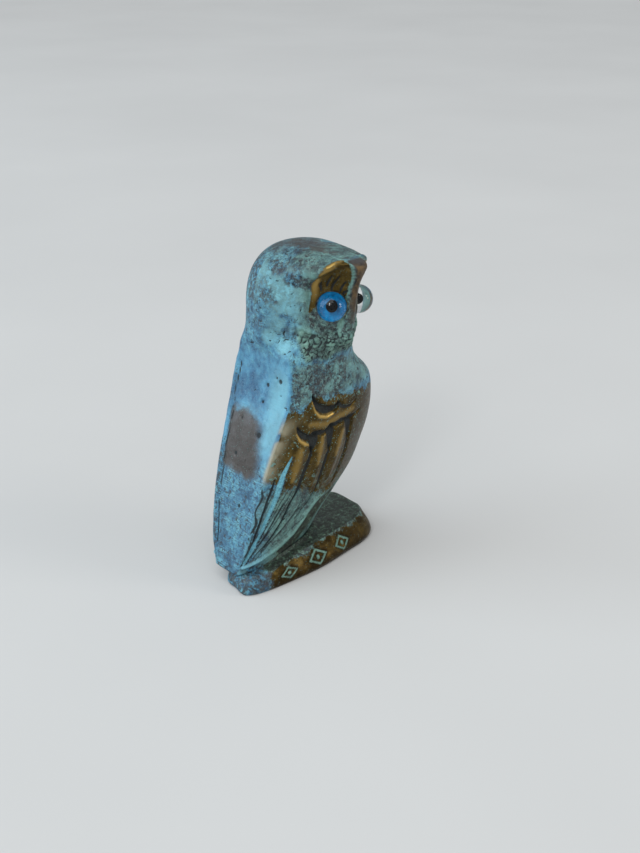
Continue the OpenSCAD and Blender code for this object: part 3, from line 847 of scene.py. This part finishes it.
    # painted highlight: rubbed lips, feather tops and the face rim turn bright gold
    gold = k.mix(k.mul(polish_and_highlight, 0.85), gold, srgb(208, 172, 98))
    plum = k.ramp(k.add(k.mul(big, 0.8), k.mul(mid, 0.2)),
                  [(0.36, srgb(62, 56, 52)), (0.52, srgb(78, 74, 72)), (0.66, srgb(90, 90, 92))])
    f_brass = k.band(k.add(brass, k.mul(ragged, 1.6)), 0.4, 0.56)
    f_tarn = k.band(k.add(tarn, k.mul(ragged, 0.5)), 0.1, 0.9)
    warm_brown = k.ramp(k.noise(0.9, 5, 0.6), [(0.38, srgb(58, 48, 38)), (0.5, srgb(84, 68, 48)),
                                               (0.64, srgb(112, 90, 60))])
    plum = k.mix(k.attr("warm"), plum, warm_brown)
    col = k.mix(f_tarn, skin, plum)
    col = k.mix(f_brass, col, gold)
    # painted reflection: the polished ridge edge turns pale cream
    col = k.mix(k.mul(polished_edge_glare, 0.95), col, srgb(172, 166, 142))
    # stray specks and scabs of patina left on the bare metal
    speck = k.band(k.voronoi(1.7, "F1", (1, 7, 3), 0.35), 0.13, 0.2, 1.0, 0.0)
    speck = k.mul(speck, k.band(k.noise(0.6, 3, 0.6, shift=(8, 8, 2)), 0.44, 0.5))
    dots = k.band(k.voronoi(3.2, "F1", (4, 1, 6), 0.2), 0.18, 0.25, 1.0, 0.0)
    dots = k.mul(dots, k.band(k.noise(0.9, 3, 0.6, shift=(2, 6, 5)), 0.52, 0.58))
    speck = k.most(speck, dots)
    scab = k.add(k.add(flake, k.mul(ragged, 0.3)), k.mul(k.attr("scabs"), 0.13))
    scab = k.band(scab, 0.64, 0.675)
    speck = k.most(speck, k.mul(scab, 0.8))
    bare = k.most(f_brass, k.mul(f_tarn, 0.35))
    bare = k.mul(bare, k.mul(k.fmix(polish_and_highlight, 1.0, 0.15), k.fmix(green, 1.0, 0.2)))
    col = k.mix(k.mul(speck, bare), col, srgb(116, 164, 158))
    # plinth top and the hollow under the body: painted shade over the green patina, nearly black green
    moss_in_shade = k.ramp(k.add(k.mul(small, 0.5), k.mul(flake, 0.5)),
                  [(0.4, srgb(10, 15, 12)), (0.47, srgb(26, 33, 26)), (0.52, srgb(46, 58, 46)),
                   (0.6, srgb(98, 128, 110))])
    col = k.mix(k.band(k.add(top, ragged), 0.35, 0.65), col, moss_in_shade)
    # dark marks: real pits, cracks and scratches, with painted shade in the carved grooves and around the
    # eye sockets
    pit_and_shade = k.band(k.add(dark, k.mul(ragged, 0.5)), 0.35, 0.7)
    col = k.mix(k.mul(pit_and_shade, 0.93), col, k.ramp(small, [(0.4, srgb(12, 15, 17)), (0.62, srgb(32, 44, 48))]))
    metal = k.most(f_brass, k.mul(f_tarn, 0.5))
    clean = k.sub(1.0, k.most(pit_and_shade, k.mul(speck, 0.8)))
    metal = k.mul(metal, clean)
    rough = k.fmix(facet, k.band(small, 0.3, 0.7, 0.42, 0.66), k.band(small, 0.3, 0.7, 0.34, 0.5))
    rough = k.fmix(sheen, rough, k.band(mid, 0.35, 0.65, 0.26, 0.4))
    rough = k.fmix(metal, rough, k.band(small, 0.3, 0.7, 0.28, 0.46))
    rough = k.fmix(pit_and_shade, rough, 0.75)
    high = k.sub(mid, k.mul(k.most(thin, net), 0.5))
    high = k.add(k.mul(high, k.fmix(metal, 1.0, 0.25)), k.mul(speck, 0.3))
    low = k.mul(k.add(small, k.mul(grit, 0.4)), k.fmix(metal, 1.0, 0.3))
    n1 = k.bump(high, 0.5, 0.0003)
    n2 = k.bump(low, 0.35, 0.00015, n1)
    k.shader(Base_Color=col, Metallic=k.mul(metal, 0.93), Roughness=rough, Normal=n2,
             Specular_IOR_Level=0.5)
    return k.m


def glass_material():
    k = Net("eye_clear_glass")
    tint = k.ramp(k.noise(0.5, 2, 0.5), [(0.4, (0.93, 0.95, 0.95, 1)), (0.6, (0.98, 0.99, 0.98, 1))])
    k.shader(Base_Color=tint, Roughness=k.band(k.noise(0.8, 3, 0.5), 0.4, 0.7, 0.0, 0.03), IOR=1.42,
             Transmission_Weight=1.0, Normal=k.bump(k.noise(0.35, 2, 0.5), 0.05, 0.0002))
    return k.m


def enamel(name, stops, rough, bump=0.1, level=0.5):
    k = Net(name)
    n = k.noise(1.6, 5, 0.6)
    k.shader(Base_Color=k.ramp(n, stops), Roughness=k.band(n, 0.3, 0.7, rough, rough + 0.12),
             Specular_IOR_Level=level, Normal=k.bump(k.noise(3.0, 3, 0.5), bump, 0.0001))
    return k.m


def cement_material():
    k = Net("eye_clear_cement")
    n = k.noise(1.2, 5, 0.6)
    resin = k.ramp(n, [(0.35, srgb(40, 38, 26)), (0.5, srgb(74, 74, 58)), (0.65, srgb(118, 122, 104))])
    k.shader(Base_Color=resin, Roughness=k.band(n, 0.3, 0.7, 0.08, 0.3), IOR=1.46,
             Transmission_Weight=0.25, Normal=k.bump(k.noise(1.8, 3, 0.5), 0.25, 0.0002))
    return k.m


casting.data.materials.append(patina_material())
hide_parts("owl_casting")
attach(casting, "root")

# ---------------------------------------------------------------- eyes
GLASS = glass_material()
AZURE = [(0.35, srgb(0, 84, 128)), (0.5, srgb(0, 108, 164)), (0.65, srgb(2, 130, 188))]
IRIS = enamel("eye_azure_enamel", AZURE, 0.4, level=0.1)
PUPIL = enamel("eye_black_enamel", [(0.4, srgb(1, 2, 2)), (0.6, srgb(5, 6, 7))], 0.5, level=0.0)
CEMENT = cement_material()


def lathe(name, profile, centre, axis, closed=False, n=96, wobble=None):
    """Turned solid: profile points are (radius, height along the axis) in mm."""
    zdir = Vector(axis)
    xdir = Vector((0, 0, 1)).cross(zdir).normalized()
    ydir = zdir.cross(xdir)
    verts, fcs, rings = [], [], []
    for j, (r, h) in enumerate(profile):
        if r < 1e-6:
            rings.append([len(verts)])
            verts.append(Vector(centre) + zdir * h)
            continue
        ring = []
        for i in range(n):
            th = 2 * math.pi * i / n
            rr, hh = wobble(j, th, r, h) if wobble else (r, h)
            ring.append(len(verts))
            verts.append(Vector(centre) + (xdir * math.cos(th) + ydir * math.sin(th)) * rr + zdir * hh)
        rings.append(ring)
    pairs = list(zip(rings[:-1], rings[1:])) + ([(rings[-1], rings[0])] if closed else [])
    for lo, hi in pairs:
        for i in range(n):
            j = (i + 1) % n
            if len(lo) == 1:
                fcs.append((lo[0], hi[j], hi[i]))
            elif len(hi) == 1:
                fcs.append((lo[i], lo[j], hi[0]))
            else:
                fcs.append((lo[i], lo[j], hi[j], hi[i]))
    me = bpy.data.meshes.new(name)
    me.from_pydata([tuple(v * MM) for v in verts], [], fcs)
    for p in me.polygons:
        p.use_smooth = True
    me.update()
    ob = bpy.data.objects.new(name, me)
    bpy.context.collection.objects.link(ob)
    return ob


# radius of the glass ball, and how far behind its middle the flat back is cut
R, CUT = 2.45, 0.9065
for word, c0, axis in EYES:
    flat_r = math.sqrt(R * R - CUT * CUT)
    th0 = math.asin(CUT / R)
    prof = [(0, -CUT), (flat_r * 0.5, -CUT), (flat_r - 0.06, -CUT)]
    prof += [(R * math.cos(th), R * math.sin(th)) for th in np.linspace(-th0 + 0.02, math.pi / 2, 44)[:-1]]
    prof.append((0, R))
    glass = lathe("eye_glass_dome_" + word, prof, c0, axis)
    glass.data.materials.append(GLASS)
    glass.visible_shadow = False
    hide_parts("eye_glass_" + word)
    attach(glass, "root")

    back = -CUT + 0.02
    lip = -0.18 if word == "right" else -0.31
    skirt = [((R - 0.02) * math.cos(u), (R - 0.02) * math.sin(u)) for u in np.linspace(-th0 + 0.02, lip, 6)]
    outer = [((R + 0.06) * math.cos(u), (R + 0.06) * math.sin(u)) for u in np.linspace(lip, -th0 - 0.03, 6)]
    prof = ([(0, back), (1.2, back), (2.15, back)] + skirt + outer
            + [(2.1, back - 0.115), (1.0, back - 0.115), (0, back - 0.115)])
    iris = lathe("eye_iris_cup_" + word, prof[::-1], c0, axis)
    iris.data.materials.append(IRIS)
    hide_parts("eye_iris_" + word)
    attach(iris, "root")

    prof = [(0, -CUT + 0.004), (0.5, -CUT + 0.01)] + [(0.68 * math.sin(u), -CUT + 0.72 + 0.74 * math.cos(u))
                                                      for u in np.linspace(2.3, 0, 18)]
    prof[-1] = (0, prof[-1][1])
    pupil = lathe("eye_pupil_lens_" + word, prof, c0, axis)
    pupil.data.materials.append(PUPIL)
    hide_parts("eye_pupil_" + word)
    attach(pupil, "root")

    seed = 1.0 if word == "right" else 2.3

    def bead(j, th, r, h):
        lump = 0.5 + 0.5 * math.sin(5 * th + seed) * math.sin(3 * th + 2 * seed)
        if j == 3:
            return r, h + 0.1 * lump
        if j in (1, 2):
            return r + 0.08 * lump, h
        return r, h
    prof = [(2.3, -1.42), (2.6, -1.3), (2.68, -0.6), (2.64, -0.38), (2.53, -0.4), (2.45, -0.85), (2.3, -1.1)]
    cement = lathe("eye_cement_bed_" + word, prof, c0, axis, closed=True, wobble=bead)
    sub = cement.modifiers.new("soft", "SUBSURF")
    sub.levels = sub.render_levels = 1
    cement.data.materials.append(CEMENT)
    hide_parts("eye_cement_" + word)
    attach(cement, "root")

# ---------------------------------------------------------------- floor, light and camera
fl = bpy.data.meshes.new("floor")
fl.from_pydata([(-3, -3, 0), (3, -3, 0), (3, 3, 0), (-3, 3, 0)], [], [(0, 1, 2, 3)])
floor = bpy.data.objects.new("floor", fl)
bpy.context.collection.objects.link(floor)
k = Net("pale_floor")
k.shader(Base_Color=k.ramp(k.noise(0.01, 3, 0.5), [(0.3, srgb(205, 204, 202)), (0.7, srgb(209, 208, 206))]),
         Roughness=0.9, Specular_IOR_Level=0.0)
floor.data.materials.append(k.m)


AIM = Vector((0, 0, 0.03))


def area(name, az, el, dist, size, power, color=(1, 1, 1)):
    li = bpy.data.lights.new(name, "AREA")
    li.shape = "RECTANGLE"
    li.size, li.size_y = size
    li.energy = power
    li.color = color
    ob = bpy.data.objects.new(name, li)
    a, e = math.radians(az), math.radians(el)
    side = Vector((math.sin(a) * math.cos(e), -math.cos(a) * math.cos(e), math.sin(e)))
    ob.location = side * dist + AIM
    ob.rotation_euler = (ob.location - AIM).to_track_quat("Z", "Y").to_euler()
    bpy.context.collection.objects.link(ob)
    return ob


area("window", -128, 24, 1.1, (0.8, 0.9), 5.5, (0.78, 0.91, 1.0))
area("fill_front", 36, 18, 0.9, (0.3, 0.4), 1.8, (1.0, 0.96, 0.9))
area("glint", -62, 40, 0.5, (0.07, 0.09), 0.35, (0.95, 0.98, 1.0))
sun = bpy.data.lights.new("soft_sky", "SUN")
sun.energy = 1.25
sun.angle = math.radians(60)
sun.color = (0.95, 0.98, 1.0)
sun_ob = bpy.data.objects.new("soft_sky", sun)
sun_ob.rotation_euler = Vector((-0.45, -0.1, 0.85)).to_track_quat("Z", "Y").to_euler()
bpy.context.collection.objects.link(sun_ob)
world = bpy.data.worlds.new("studio")
world.use_nodes = True
bg = world.node_tree.nodes["Background"]
bg.inputs[0].default_value = (0.84, 0.88, 0.92, 1)
bg.inputs[1].default_value = 0.5
bpy.context.scene.world = world

cam_data = bpy.data.cameras.new("camera")
cam_data.sensor_width = 36
cam_data.lens = 50.64
cam = bpy.data.objects.new("camera", cam_data)
a, e = math.radians(-43), math.radians(25)
back_dir = Vector((math.sin(a) * math.cos(e), -math.cos(a) * math.cos(e), math.sin(e)))
cam.location = (-0.13005, -0.1464, 0.11699)
cam.rotation_euler = (-back_dir).to_track_quat("-Z", "Y").to_euler()
cam_data.clip_start = 0.01
bpy.context.collection.objects.link(cam)
bpy.context.scene.camera = cam
bpy.context.scene.view_settings.view_transform = "Standard"
